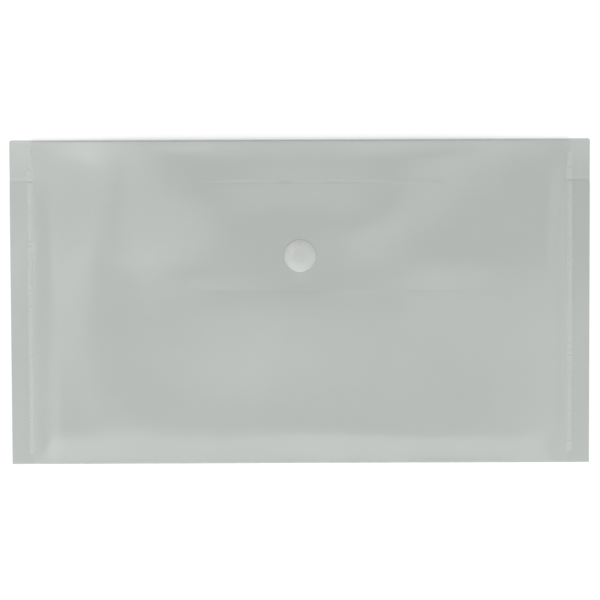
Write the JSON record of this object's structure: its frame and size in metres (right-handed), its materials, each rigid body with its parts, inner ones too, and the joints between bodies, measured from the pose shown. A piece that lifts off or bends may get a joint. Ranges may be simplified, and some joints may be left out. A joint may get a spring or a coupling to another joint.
{
  "type": "clear plastic folder",
  "caption": "Landscape wallet of clear film: a pocket welded along both sides, with a fold-over flap that a milky plastic press stud closes.",
  "frame": {"origin": "centre of the back, on the surface that the wallet lies on", "axes": "+X across the wallet, +Y towards the top fold, +Z out of its front"},
  "size_m": [0.25, 0.14, 0.0061],
  "materials": {
    "clear_film": "smooth and slightly hazy polypropylene film",
    "milky_plastic": "satin moulded polypropylene"
  },
  "bodies": {
    "pocket": {"back_panel": "clear_film", "bottom_fold": "clear_film", "front_panel": "clear_film", "left_side_weld": "clear_film", "right_side_weld": "clear_film", "top_fold": "clear_film", "snap_inner_cap": "milky_plastic", "snap_stud": "milky_plastic"},
    "flap": {"flap": "clear_film", "snap_socket": "milky_plastic", "snap_cap": "milky_plastic"}
  },
  "joints": [
    {"name": "flap_hinge", "type": "hinge", "parent": "pocket", "child": "flap", "pos_m": [0, 0.06885, 0.00115], "axis": [-1, 0, 0], "range_deg": [0, 175], "deforming": ["top_fold"]}
  ]
}
